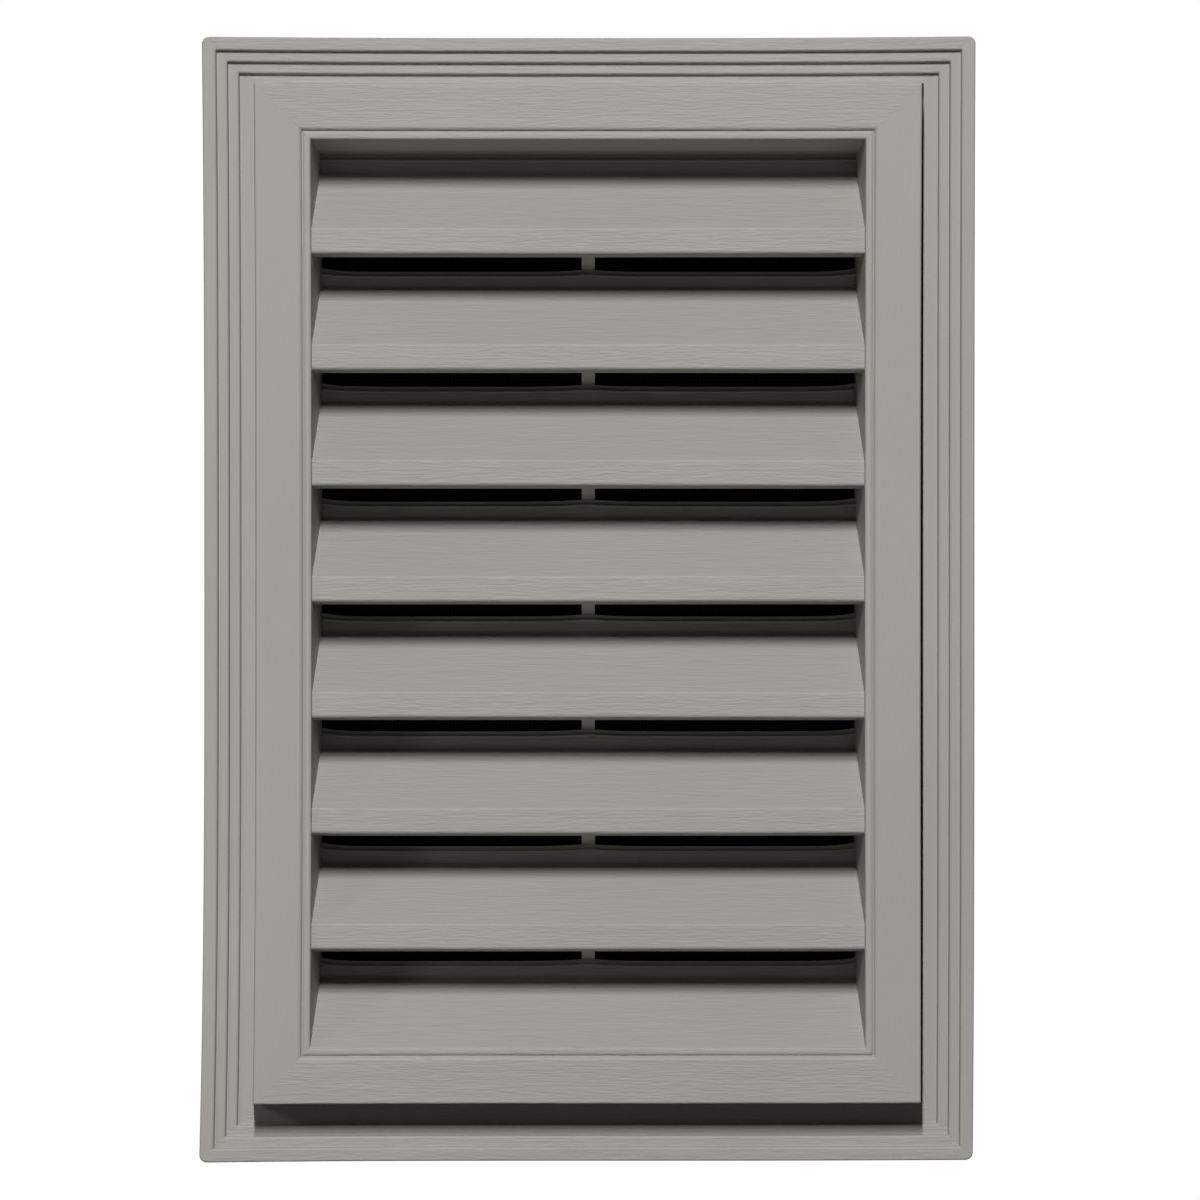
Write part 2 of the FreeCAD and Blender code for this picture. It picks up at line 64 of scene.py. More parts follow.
# The flange, the raised frame with its groove and bead, and the collar
FLANGE_Y = -2.0
FLANGE_REACH = min(SIDE_BORDER, HEAD_BORDER, SILL_BORDER) - WALL - RING_GAP
FACE_Y = -40.0
FACE_WIDTH = 21.0
FACE_RADIUS = 1.0
SHOULDER_RADIUS = 2.0
GROOVE_RUN = 0.7
GROOVE_DEPTH = 1.8
GROOVE_Y = FACE_Y + GROOVE_DEPTH
BEAD_FLANK = 1.1
FLANK_RADIUS = 1.4
BEAD_END = 25.5
BEAD_DROP = 0.9
BEAD_Y = FACE_Y + BEAD_DROP
BEAD_RADIUS = 1.2
COLLAR_Y = 12.0
OPENING_DRAFT = 4.6
TAPER = math.tan(math.radians(OPENING_DRAFT))
FRAME_DRAFT = 1.5
FRAME_LEAN = math.tan(math.radians(FRAME_DRAFT))
OPENING_HALF = HALF_WIDTH - SIDE_BORDER - BEAD_END
OPENING_TOP = HALF_HEIGHT - HEAD_BORDER - BEAD_END
OPENING_BOTTOM = SILL_BORDER + BEAD_END - HALF_HEIGHT

# The frame sits above the middle, as its head has the narrower border. The lift grows between two insets.
HEAD_LIFT = SIDE_BORDER - HEAD_BORDER
SILL_LIFT = SILL_BORDER - SIDE_BORDER
FRAME_LIFT = (HEAD_LIFT + SILL_LIFT) / 2
LIFT_START = 17.0
LIFT_END = 23.2

# How the mouldings have set: bows of the long sides, the vent's shift, and each corner's move in X and Z
FRAME_BOW = 0.7
RING_BOW = 0.5
VENT_SHIFT = -0.3
HEAD_LEFT_SET = (-0.7, 0.7)
HEAD_RIGHT_SET = (0.5, 0.8)
SILL_LEFT_SET = (-1.9, -0.9)
SILL_RIGHT_SET = (-0.8, 0.4)
SET_POWER = 3

# The slats, each with an upstand at its back and all but the lowest with a lip at its front
SLAT_COUNT = 8
SLAT_WALL = 2.2
HEAD_GAP = 5.0
SILL_GAP = 3.2
SLOT_GAP = 4.7
UPSTAND_HEIGHT = 8.1
UPSTAND_STRIP = 2.1
LIP_HEIGHT = 12.7
LIP_RETURN = 11.0
LIP_RADIUS = 1.8
CREST_RADIUS = 1.1
LIP_DRIP = 1.1
FOOT_RADIUS = 2.4
FILLET = 0.6
BREAK = 0.25
LEDGE_BEAD = 0.45
LIP_SETBACK = 3.8
SLAT_RUN = 37.4
STRIP_SETBACK = 1.0
UPSTAND_WALL = 2.4
LIP_Y = FACE_Y + LIP_SETBACK
RETURN_Y = LIP_Y + LIP_RETURN
FOOT_Y = LIP_Y + SLAT_RUN
STRIP_Y = FOOT_Y + STRIP_SETBACK
SEAT_Y = FOOT_Y + UPSTAND_WALL
FIRST_TOP = OPENING_TOP - HEAD_GAP
PITCH = (OPENING_TOP - OPENING_BOTTOM - HEAD_GAP - SILL_GAP + LIP_HEIGHT + SLOT_GAP) / SLAT_COUNT
RISE = PITCH - LIP_HEIGHT - SLOT_GAP - UPSTAND_HEIGHT
RIB_HALF = 3.0
UPSTAND_BOW = 0.9

# The lips wander by sines, each given by its size and its radians per millimetre, and less behind the lip
LIP_WANDER = 0.07
LIP_WAVES = ((1.0, 0.021), (0.6, 0.047), (0.3, 0.11))
WANDER_SEED = 5
WANDER_START = 4.0
WANDER_END = 14.0

# Stiffening webs behind the frame and the border
WEB_THICKNESS = 1.8
WEB_BACK = -1.0
SIDE_WEB_COUNT = 5
SIDE_WEB_REACH = 190.0
RAIL_WEB_COUNT = 3
RAIL_WEB_REACH = 100.0
SIDE_WEBS = np.linspace(-SIDE_WEB_REACH, SIDE_WEB_REACH, SIDE_WEB_COUNT) + FRAME_LIFT
RAIL_WEBS = np.linspace(-RAIL_WEB_REACH, RAIL_WEB_REACH, RAIL_WEB_COUNT)

# The fly screen, the stakes that hold it and the black card behind it, which is painted shade
SCREEN_THICKNESS = 0.6
SCREEN_CLEARANCE = 0.8
SCREEN_INSET = (SEAT_Y + SCREEN_THICKNESS - BEAD_Y) * TAPER + SCREEN_CLEARANCE
YARN_RADIUS = 0.15
YARN_REST = 0.01
YARN_PITCH = 1.6
STAKE_INSET = 16.0
STAKE_X = OPENING_HALF - STAKE_INSET
STAKE_RADIUS = 1.5
BUTTON_RADIUS = 2.8
BUTTON_EDGE = 0.2
BUTTON_HEIGHT = 1.1
DOME_SWEEP = 1.35
DOME_POINTS = 6
CARD_GAP = 2.0

# Texture: depths of the grain and of the yarn's pits, the mitre's width, and the stiles' reach inwards
GRAIN_DEPTH = 0.14
YARN_DEPTH = 0.04
SEAM_WIDTH = 0.5
STILE_OVERLAP = 0.3

# The grain fades out as the Y of a surface's normal goes from the first value to the second
GRAIN_FULL = -0.45
GRAIN_GONE = -0.1

# Colours of the moulding, its grain and the yarn
MOULDING_DARK = (0.357, 0.343, 0.316, 1)
MOULDING_LIGHT = (0.371, 0.357, 0.33, 1)
GRAIN_LIGHT = (0.42, 0.405, 0.376, 1)
YARN_DARK = (0.006, 0.006, 0.006, 1)
YARN_LIGHT = (0.01, 0.01, 0.01, 1)
YARN_SPECK = (0.02, 0.02, 0.02, 1)

# How much each texture adds to relief, colour and roughness, on the moulding and then on the yarn
BAND_RELIEF = 0.6
STILE_RELIEF = 0.4
SEAM_RELIEF = 0.1
SPECKLE_RELIEF = 0.05
GRAIN_TINT = 0.2
SEAM_TINT = 0.3
MOULDING_ROUGHNESS = 0.5
SPECKLE_ROUGHNESS = 0.08
GRAIN_ROUGHNESS = 0.06
YARN_TINT = 0.3
YARN_ROUGHNESS = 0.45
YARN_UNEVENNESS = 0.2

# Studio colours, and how brightly the floor and the room glow
WHITE = (1, 1, 1, 1)
FLOOR_GREY = (0.1, 0.1, 0.1, 1)
# The card's black is painted shade for the unlit space behind the screen
SHADE_CARD_BLACK = (0.004, 0.004, 0.004, 1)
FLOOR_GLOW = 0.86
ROOM_GLOW = 0.03


# Surfaces
def rounded_section(corners, steps=5):
    """Round the corners of a closed section, given as rows of two coordinates and a radius.

    At each corner the arc touches both straight runs at radius / tan(half angle) from the corner,
    and its centre lies on the bisector at radius / sin(half angle).
    """
    corners = np.asarray(corners, float)
    point = corners[:, :2]
    radius = corners[:, 2:3]
    back = np.roll(point, 1, 0) - point
    onward = np.roll(point, -1, 0) - point
    back /= np.linalg.norm(back, axis=1, keepdims=True)
    onward /= np.linalg.norm(onward, axis=1, keepdims=True)
    half = np.arccos(np.clip((back * onward).sum(1, keepdims=True), -1, 1)) / 2
    bisector = back + onward
    bisector /= np.linalg.norm(bisector, axis=1, keepdims=True)
    centre = point + bisector * radius / np.sin(half)
    start = point + back * radius / np.tan(half) - centre
    turn = np.sign(back[:, :1] * onward[:, 1:] - back[:, 1:] * onward[:, :1])
    angle = np.arctan2(start[:, 1:], start[:, :1])
    sweep = -turn * (math.pi - 2 * half) * np.linspace(0, 1, steps + 1)
    arc = np.stack([np.cos(angle + sweep), np.sin(angle + sweep)], -1)
    return (centre[:, None] + radius[:, None] * arc).reshape(-1, 2)


def grid_quads(rows, columns, close_columns):
    """Number the quads of a grid whose rows close on themselves, and whose columns may."""
    across = columns if close_columns else columns - 1
    i, j = np.meshgrid(np.arange(rows), np.arange(across), indexing="ij")
    below = (i + 1) % rows
    right = (j + 1) % columns
    quads = [i * columns + j, below * columns + j, below * columns + right, i * columns + right]
    return np.stack(quads, -1).reshape(-1, 4)


def end_caps(rows, columns):
    """Number the two faces that close a grid at its first and last column."""
    loop = np.arange(rows) * columns
    return np.stack([loop[::-1], loop + columns - 1])


def outward(points, *face_sets):
    """Turn a closed shell's faces outwards: the sum of a . (b x c) over its triangles is then positive."""
    volume = 0.0
    for faces in face_sets:
        hub = np.broadcast_to(faces[:, :1], faces[:, 2:].shape)
        fan = np.stack([hub, faces[:, 1:-1], faces[:, 2:]], -1)
        a, b, c = (points[fan[..., k].ravel()] for k in range(3))
        volume += (a * np.cross(b, c)).sum()
    return [faces if volume > 0 else faces[:, ::-1] for faces in face_sets]


def repeated(points, face_sets):
    """Number the faces of a shell again for each copy along the first axis of its points."""
    copies, count = points.shape[:2]
    shift = (np.arange(copies) * count)[:, None, None]
    return points.reshape(-1, 3), [(faces[None] + shift).reshape(-1, faces.shape[1]) for faces in face_sets]


def closed_bars(points):
    """Close the grid of points of each copy into a bar: rows go around its section, columns along it."""
    copies, rows, columns = points.shape[:3]
    bars = points.reshape(copies, -1, 3)
    return repeated(bars, outward(bars[0], grid_quads(rows, columns, False), end_caps(rows, columns)))


def lift_share(inset):
    """How much of the frame's lift a point has: none on the border's bands, all of it on the frame."""
    return np.clip((inset - LIFT_START) / (LIFT_END - LIFT_START), 0, 1)


def ring_around(section, lift, side_steps=26, corner_steps=5):
    """Carry a section of inset and Y around the vent's rounded rectangle.

    A point with inset u lies on a rectangle of half sizes (HALF_WIDTH - u, HALF_HEIGHT - u), whose head and
    sill rise by its lift's share of HEAD_LIFT and SILL_LIFT, and whose corners are arcs of radius
    CORNER_RADIUS - u, or LEAST_CORNER where that is more.
    """
    inset, depth = section[:, :1, None], section[:, 1:, None]
    radius = np.maximum(CORNER_RADIUS - inset, LEAST_CORNER)
    quarter = np.arange(4)[None, :, None]
    angle = (quarter + np.linspace(0, 1, corner_steps + 1)[None, None, :]) * math.pi / 2
    sign_x = np.where((quarter == 0) | (quarter == 3), 1.0, -1.0)
    sign_z = np.where(quarter < 2, 1.0, -1.0)
    lift = np.where(quarter < 2, HEAD_LIFT, SILL_LIFT) * np.broadcast_to(lift, len(section))[:, None, None]
    x = sign_x * (HALF_WIDTH - inset - radius) + radius * np.cos(angle)
    z = sign_z * (HALF_HEIGHT - inset - radius) + radius * np.sin(angle) + lift
    share = np.linspace(0, 1, side_steps + 1)[None, None, 1:-1]
    side_x = x[:, :, -1:] + (np.roll(x, -1, 1)[:, :, :1] - x[:, :, -1:]) * share
    side_z = z[:, :, -1:] + (np.roll(z, -1, 1)[:, :, :1] - z[:, :, -1:]) * share
    x = np.concatenate([x, side_x], 2).reshape(len(section), -1)
    z = np.concatenate([z, side_z], 2).reshape(len(section), -1)
    points = np.stack([x, np.broadcast_to(depth[:, 0], x.shape), z], -1).reshape(-1, 3)
    return points, outward(points, grid_quads(*x.shape, True))


def opening_half(y):
    """Half the width of the drafted opening at a depth, out to the middle of its wall."""
    return OPENING_HALF - (y - BEAD_Y) * TAPER + WALL / 2


def across_opening(section, tops, bows=0.0, lip_wander=0.0, steps=88):
    """Carry a section of Y and Z from wall to wall of the opening, once below each height in tops.

    X is a share from -1 to 1 of the half width at that depth. Between the centre rib and each wall the upper
    edge of the upstand hangs by its bow times 1 - s ** 6, where s goes from -1 to 1 on the way, and rises by
    its bow times s ** 12 at the wall alone. The lip wanders by a sum of sines.
    """
    bows = np.broadcast_to(bows, len(tops))[:, None, None]
    y = section[:, 0][None, :, None]
    z = section[:, 1][None, :, None] - FIRST_TOP + np.asarray(tops, float)[:, None, None]
    share = np.linspace(-1, 1, steps + 1)[None, None, :]
    x = share * opening_half(y)
    way = np.clip(2 * (np.abs(x) - RIB_HALF) / (opening_half(y) - WALL / 2 - RIB_HALF) - 1, -1, 1)
    sag = 1 - way ** 6 - np.where(way > 0, way, 0) ** 12
    upper = np.clip((section[:, 1] - FIRST_TOP + UPSTAND_HEIGHT) / UPSTAND_HEIGHT, 0, 1)[None, :, None]
    behind_lip = section[:, 0] - LIP_Y
    front = np.clip((WANDER_END - behind_lip) / (WANDER_END - WANDER_START), 0, 1)[None, :, None]
    random = np.random.default_rng(WANDER_SEED)
    phase = random.uniform(0, 2 * math.pi, (len(tops), len(LIP_WAVES)))[:, :, None, None]
    waves = sum(size * np.sin(x * rate + phase[:, k]) for k, (size, rate) in enumerate(LIP_WAVES))
    z = z - bows * upper * sag + lip_wander * front * waves
    return closed_bars(np.stack(np.broadcast_arrays(x, y, z), -1))


def plates(outlines, thickness, direction):
    """Give each flat outline of points a thickness along a direction, as two loops joined by a wall."""
    shift = np.asarray(direction, float) * thickness / 2
    return closed_bars(np.stack([outlines - shift, outlines + shift], 2))


def webs_around(section, lift):
    """Set thin webs of one section of inset and Y up both sides, along the head and along the sill."""
    inset, y = section.T[:, None]
    left = np.stack(np.broadcast_arrays(inset - HALF_WIDTH, y, SIDE_WEBS[:, None]), -1)
    head_z = HALF_HEIGHT - inset + HEAD_LIFT * lift
    head = np.stack(np.broadcast_arrays(RAIL_WEBS[:, None], y, head_z), -1)
    sill_z = inset - HALF_HEIGHT + SILL_LIFT * lift
    sill = np.stack(np.broadcast_arrays(RAIL_WEBS[:, None], y, sill_z), -1)
    sides = [plates(webs, WEB_THICKNESS, (0, 0, 1)) for webs in (left, left * (-1, 1, 1))]
    return sides + [plates(webs, WEB_THICKNESS, (1, 0, 0)) for webs in (head, sill)]


def settled(points, left, right, shift):
    """Move points as the mouldings have set since they were made.

    All shift along X. Each long side bows in by its amount times 1 - v ** 2, shared out across the width,
    where u and v are X and Z over the half sizes. Each corner goes by its set in X and Z times
    (u v) ** SET_POWER, in its own quarter alone.
    """
    u = points[:, 0] / HALF_WIDTH
    v = points[:, 2] / HALF_HEIGHT
    way = np.clip((u + 1) / 2, 0, 1)
    moved = points.copy()
    moved[:, 0] += shift + (left * (1 - way) - right * way) * (1 - v ** 2)
    corners = (
        (-1, 1, HEAD_LEFT_SET),
        (1, 1, HEAD_RIGHT_SET),
        (-1, -1, SILL_LEFT_SET),
        (1, -1, SILL_RIGHT_SET),
    )
    for side, end, (along_x, along_z) in corners:
        share = (np.clip(side * u, 0, None) * np.clip(end * v, 0, None)) ** SET_POWER
        moved[:, 0] += along_x * share
        moved[:, 2] += along_z * share
    return moved


def turned(outline, centres, sides=20):
    """Turn a closed outline of radius and Y about a Y axis through each centre: x + r cos a, z + r sin a."""
    angle = np.linspace(0, 2 * math.pi, sides, endpoint=False)[None, None, :]
    radius, depth = outline[:, 0][None, :, None], outline[:, 1][None, :, None]
    x = centres[:, 0][:, None, None] + radius * np.cos(angle)
    z = centres[:, 1][:, None, None] + radius * np.sin(angle)
    rows = len(outline)
    points = np.stack(np.broadcast_arrays(x, depth, z), -1).reshape(len(centres), -1, 3)
    strip = grid_quads(rows, sides, True)[: (rows - 1) * sides]
    ends = np.stack([np.arange(sides), np.arange(sides)[::-1] + (rows - 1) * sides])
    return repeated(points, outward(points[0], strip, ends))


def make_piece(name, shells, material, left_bow=0.0, right_bow=0.0, shift=0.0, crease=38):
    """Put closed shells into one mesh, shaded smooth below the crease angle, and let it ride on the vent."""
    points, faces, count = [], [], 0
    for shell_points, face_sets in shells:
        points.append(shell_points)
        faces += [face for face_set in face_sets for face in (face_set + count).tolist()]
        count += len(shell_points)
    mesh = bpy.data.meshes.new(name)
    mesh.from_pydata(settled(np.concatenate(points), left_bow, right_bow, shift) * MM, [], faces)
    mesh.polygons.foreach_set("use_smooth", np.ones(len(faces), bool))
    mesh.set_sharp_from_angle(angle=math.radians(crease))
    mesh.materials.append(material)
    piece = bpy.data.objects.new(name, mesh)
    scene.collection.objects.link(piece)
    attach(piece, "root")
    return piece


# Materials
def put(tree, kind, wires=None, **settings):
    """Add a node. wires gives an input's name or number a value, or the output that feeds it."""
    node = tree.nodes.new(kind)
    for key, value in settings.items():
        setattr(node, key, value)
    for key, value in (wires or {}).items():
        if isinstance(value, bpy.types.NodeSocket):
            tree.links.new(value, node.inputs[key])
        else:
            node.inputs[key].default_value = value
    return node


def calc(tree, operation, *values, clamp=False):
    """Add a Math node and give back its output."""
    wires = dict(enumerate(values))
    return put(tree, "ShaderNodeMath", wires, operation=operation, use_clamp=clamp).outputs[0]


def blend_colour(tree, factor, first, second):
    """Mix two colours by a factor from 0 to 1."""
    return put(tree, "ShaderNodeMix", {0: factor, 6: first, 7: second}, data_type="RGBA").outputs[2]


def span(tree, value, low, high, to_low, to_high):
    """Map a value from one range to another, held within the second."""
    wires = {0: value, 1: low, 2: high, 3: to_low, 4: to_high}
    return put(tree, "ShaderNodeMapRange", wires, clamp=True).outputs[0]


def new_group(name, inputs, outputs):
    """Start a node group with named sockets, each input with its usual value."""
    group = bpy.data.node_groups.new(name, "ShaderNodeTree")
    for socket, (kind, usual) in inputs.items():
        made = group.interface.new_socket(socket, in_out="INPUT", socket_type=kind)
        if usual is not None:
            made.default_value = usual
    for socket in outputs:
        group.interface.new_socket(socket, in_out="OUTPUT", socket_type="NodeSocketFloat")
    return group, group.nodes.new("NodeGroupInput").outputs, group.nodes.new("NodeGroupOutput").inputs


def wood_grain_group():
    """Moulded-in wood grain: noise drawn out along the member, on lines that wander, fine and coarse."""
    group, given, result = new_group(
        "wood_grain",
        {
            "Along": ("NodeSocketFloat", 0.0),
            "Across": ("NodeSocketFloat", 0.0),
            "Depth": ("NodeSocketFloat", 0.0),
            "Streak Length": ("NodeSocketFloat", 0.014),
            "Streak Gap": ("NodeSocketFloat", 0.0019),
            "Wander": ("NodeSocketFloat", 0.0012),
        },
        ("Streaks", "Bands"),
    )
    here = {0: given["Along"], 1: given["Across"], 2: given["Depth"]}
    drift_at = put(group, "ShaderNodeCombineXYZ", here).outputs[0]
    drift = put(group, "ShaderNodeTexNoise", {"Vector": drift_at, "Scale": 38.0, "Detail": 1.0}).outputs[0]
    offset = calc(group, "MULTIPLY", calc(group, "SUBTRACT", drift, 0.5), given["Wander"])
    across = calc(group, "ADD", given["Across"], offset)
    length = calc(group, "DIVIDE", given["Along"], given["Streak Length"])
    gap = calc(group, "DIVIDE", across, given["Streak Gap"])
    depth = calc(group, "DIVIDE", given["Depth"], given["Streak Gap"])
    fine_at = put(group, "ShaderNodeCombineXYZ", {0: length, 1: gap, 2: depth}).outputs[0]
    fine_noise = {"Vector": fine_at, "Scale": 0.8, "Detail": 3.0, "Roughness": 0.55}
    fine = put(group, "ShaderNodeTexNoise", fine_noise).outputs[0]
    coarse_noise = {"Vector": fine_at, "Scale": 0.21, "Detail": 1.5, "Roughness": 0.5}
    coarse = put(group, "ShaderNodeTexNoise", coarse_noise).outputs[0]
    group.links.new(span(group, fine, 0.28, 0.72, 0.0, 1.0), result["Streaks"])
    group.links.new(span(group, coarse, 0.3, 0.7, 0.0, 1.0), result["Bands"])
    return group


def mottle_group():
    """Slow blotches and a fine speckle, for colour and gloss that are never quite even."""
    group, given, result = new_group(
        "mottle",
        {
            "Place": ("NodeSocketVector", None),
            "Blotch Scale": ("NodeSocketFloat", 9.0),
            "Speckle Scale": ("NodeSocketFloat", 1400.0),
        },
        ("Blotches", "Speckle"),
    )
    slow = {"Vector": given["Place"], "Scale": given["Blotch Scale"], "Detail": 2.0}
    blotch = put(group, "ShaderNodeTexNoise", slow).outputs[0]
    quick = {"Vector": given["Place"], "Scale": given["Speckle Scale"], "Detail": 1.0}
    speckle = put(group, "ShaderNodeTexNoise", quick).outputs[0]
    group.links.new(span(group, blotch, 0.3, 0.7, 0.0, 1.0), result["Blotches"])
    group.links.new(span(group, speckle, 0.3, 0.7, 0.0, 1.0), result["Speckle"])
    return group


def new_material(name):
    """Start a material with a Principled shader, and give back its tree and its place on the object."""
    material = bpy.data.materials.new(name)
    material.use_nodes = True
    tree = material.node_tree
    tree.nodes.clear()
    shader = put(tree, "ShaderNodeBsdfPrincipled")
    put(tree, "ShaderNodeOutputMaterial", {"Surface": shader.outputs[0]})
    place = put(tree, "ShaderNodeTexCoord").outputs["Object"]
    return material, tree, shader, place


def grained_moulding(grain, mottle):
    """Warm grey moulded plastic with wood grain on its front: upright on the stiles, level elsewhere."""
    material, tree, shader, place = new_material("grained_moulding")
    xyz = put(tree, "ShaderNodeSeparateXYZ", {0: place}).outputs
    from_middle = calc(tree, "ABSOLUTE", xyz[0])
    from_centre = calc(tree, "ABSOLUTE", calc(tree, "SUBTRACT", xyz[2], FRAME_LIFT * MM))
    corner_gap = calc(tree, "SUBTRACT", from_middle, from_centre)
    mitre = calc(tree, "ADD", corner_gap, (HALF_HEIGHT - HALF_WIDTH) * MM)
    beside = calc(tree, "GREATER_THAN", mitre, 0.0)
    outside = calc(tree, "GREATER_THAN", from_middle, (OPENING_HALF - STILE_OVERLAP) * MM)
    stile = calc(tree, "MULTIPLY", beside, outside)
    along = put(tree, "ShaderNodeMix", {0: stile, 2: xyz[0], 3: xyz[2]}, data_type="FLOAT").outputs[0]
    across = put(tree, "ShaderNodeMix", {0: stile, 2: xyz[2], 3: xyz[0]}, data_type="FLOAT").outputs[0]
    grain_at = {"Along": along, "Across": across, "Depth": xyz[1]}
    grain_size = {"Streak Length": 0.0075, "Streak Gap": 0.0008, "Wander": 0.0012}
    streaks = put(tree, "ShaderNodeGroup", grain_at | grain_size, node_tree=grain)
    spots = {"Place": place, "Blotch Scale": 9.0, "Speckle Scale": 1400.0}
    uneven = put(tree, "ShaderNodeGroup", spots, node_tree=mottle)

    normal = put(tree, "ShaderNodeNewGeometry").outputs["Normal"]
    facing = put(tree, "ShaderNodeSeparateXYZ", {0: normal}).outputs[1]
    front = span(tree, facing, GRAIN_FULL, GRAIN_GONE, 1.0, 0.0)
    seam = span(tree, calc(tree, "ABSOLUTE", mitre), 0.0, SEAM_WIDTH * MM, 1.0, 0.0)
    on_face = calc(tree, "LESS_THAN", xyz[1], (FACE_Y + FACE_RADIUS) * MM)
    seam = calc(tree, "MULTIPLY", calc(tree, "MULTIPLY", seam, on_face), outside)
    relief = calc(tree, "MULTIPLY_ADD", streaks.outputs["Bands"], BAND_RELIEF, streaks.outputs["Streaks"])
    relief = calc(tree, "MULTIPLY", relief, span(tree, stile, 0.0, 1.0, 1.0, STILE_RELIEF))
    relief = calc(tree, "MULTIPLY", calc(tree, "MULTIPLY_ADD", seam, SEAM_RELIEF, relief), front)
    relief = calc(tree, "MULTIPLY_ADD", uneven.outputs["Speckle"], SPECKLE_RELIEF, relief)
    bump = put(tree, "ShaderNodeBump", {"Strength": 1.0, "Distance": GRAIN_DEPTH * MM, "Height": relief})

    tone = calc(tree, "MULTIPLY", streaks.outputs["Streaks"], front)
    body = blend_colour(tree, uneven.outputs["Blotches"], MOULDING_DARK, MOULDING_LIGHT)
    lighter = calc(tree, "MULTIPLY_ADD", seam, SEAM_TINT, calc(tree, "MULTIPLY", tone, GRAIN_TINT))
    colour = blend_colour(tree, lighter, body, GRAIN_LIGHT)
    tree.links.new(colour, shader.inputs["Base Color"])
    rough = calc(tree, "MULTIPLY_ADD", uneven.outputs["Speckle"], SPECKLE_ROUGHNESS, MOULDING_ROUGHNESS)
    rough = calc(tree, "MULTIPLY_ADD", tone, GRAIN_ROUGHNESS, rough)
    tree.links.new(rough, shader.inputs["Roughness"])
    tree.links.new(bump.outputs[0], shader.inputs["Normal"])
    shader.inputs["Specular IOR Level"].default_value = 0.3
    return material


def screen_yarn(mottle):
    """Charcoal coated yarn, a little uneven in colour and gloss."""
    material, tree, shader, place = new_material("screen_yarn")
    spots = {"Place": place, "Blotch Scale": 25.0, "Speckle Scale": 900.0}
    uneven = put(tree, "ShaderNodeGroup", spots, node_tree=mottle)
    body = blend_colour(tree, uneven.outputs["Blotches"], YARN_DARK, YARN_LIGHT)
    speck = calc(tree, "MULTIPLY", uneven.outputs["Speckle"], YARN_TINT)
    colour = blend_colour(tree, speck, body, YARN_SPECK)
    tree.links.new(colour, shader.inputs["Base Color"])
    rough = calc(tree, "MULTIPLY_ADD", uneven.outputs["Speckle"], YARN_UNEVENNESS, YARN_ROUGHNESS)
    tree.links.new(rough, shader.inputs["Roughness"])
    pits = {"Strength": 0.6, "Distance": YARN_DEPTH * MM, "Height": uneven.outputs["Speckle"]}
    tree.links.new(put(tree, "ShaderNodeBump", pits).outputs[0], shader.inputs["Normal"])
    shader.inputs["Specular IOR Level"].default_value = 0.2
    return material


grain = wood_grain_group()
mottle = mottle_group()
moulding = grained_moulding(grain, mottle)
yarn = screen_yarn(mottle)


# The border ring, which covers the vent's flange
land_y = EDGE_Y + len(BAND_ENDS) * STEP_DROP
base_y = land_y + WALL
back_flare = -FACE_Y * FRAME_LEAN
ring_inner = SIDE_BORDER - (base_y - FACE_Y) * FRAME_LEAN - RING_GAP
band_steps = []
for step, band_end in enumerate(BAND_ENDS):
    band_steps.append((band_end, EDGE_Y + step * STEP_DROP, STEP_RADIUS))
    band_steps.append((band_end + STEP_RUN, EDGE_Y + (step + 1) * STEP_DROP, BREAK))
border_section = rounded_section(
    [(0.0, 0.0, BREAK), (0.0, EDGE_Y, EDGE_RADIUS)]
    + band_steps
    + [
        (ring_inner, land_y, BREAK),
        (ring_inner, base_y, BREAK),
        (BAND_ENDS[2], base_y, FILLET),
        (WALL, EDGE_Y + EDGE_WALL, FILLET),
        (WALL, 0.0, BREAK),
    ]
)
ring_web_edge = SIDE_BORDER - back_flare - RING_GAP
ring_web = np.array(
    [
        (WALL / 2, FLANGE_Y - RING_GAP),
        (WALL / 2, EDGE_Y + WALL / 2),
        (BAND_ENDS[2], land_y + WALL / 2),
        (ring_web_edge, land_y + WALL / 2),
        (ring_web_edge, FLANGE_Y - RING_GAP),
    ]
)
border_shells = [ring_around(border_section, lift_share(border_section[:, 0]))]
border_shells += webs_around(ring_web, lift_share(ring_web[:, 0]))
border_trim = make_piece("border_trim", border_shells, moulding, left_bow=RING_BOW)
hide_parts("border_ring")

# The moulded vent: flange, raised frame and collar
face_end = SIDE_BORDER + FACE_WIDTH
groove = face_end + GROOVE_RUN
bead_edge = SIDE_BORDER + BEAD_END
collar = bead_edge + (COLLAR_Y - BEAD_Y) * TAPER
skin_y = FACE_Y + WALL + (GROOVE_Y - FACE_Y) / 2
frame_section = rounded_section(
    [
        (SIDE_BORDER - FLANGE_REACH, 0.0, BREAK),
        (SIDE_BORDER - FLANGE_REACH, FLANGE_Y, BREAK),
        (SIDE_BORDER - (FLANGE_Y - FACE_Y) * FRAME_LEAN, FLANGE_Y, BREAK),
        (SIDE_BORDER, FACE_Y, FACE_RADIUS),
        (face_end, FACE_Y, SHOULDER_RADIUS),
        (groove, GROOVE_Y, BREAK),
        (groove + BEAD_FLANK, BEAD_Y, FLANK_RADIUS),
        (bead_edge, BEAD_Y, BEAD_RADIUS),
        (collar, COLLAR_Y, BREAK),
        (collar - WALL, COLLAR_Y, BREAK),
        (bead_edge + (skin_y - BEAD_Y) * TAPER - WALL, skin_y, FILLET),
        (SIDE_BORDER + WALL, skin_y, FILLET),
        (SIDE_BORDER + WALL - back_flare, 0.0, BREAK),
    ]
)
web_top = (GROOVE_Y + skin_y) / 2
frame_web = np.array(
    [
        (SIDE_BORDER + WALL / 2, WEB_BACK),
        (SIDE_BORDER + WALL / 2, web_top),
        (bead_edge - WALL / 2, web_top),
        (bead_edge - WALL / 2 + (WEB_BACK - BEAD_Y) * TAPER, WEB_BACK),
    ]
)
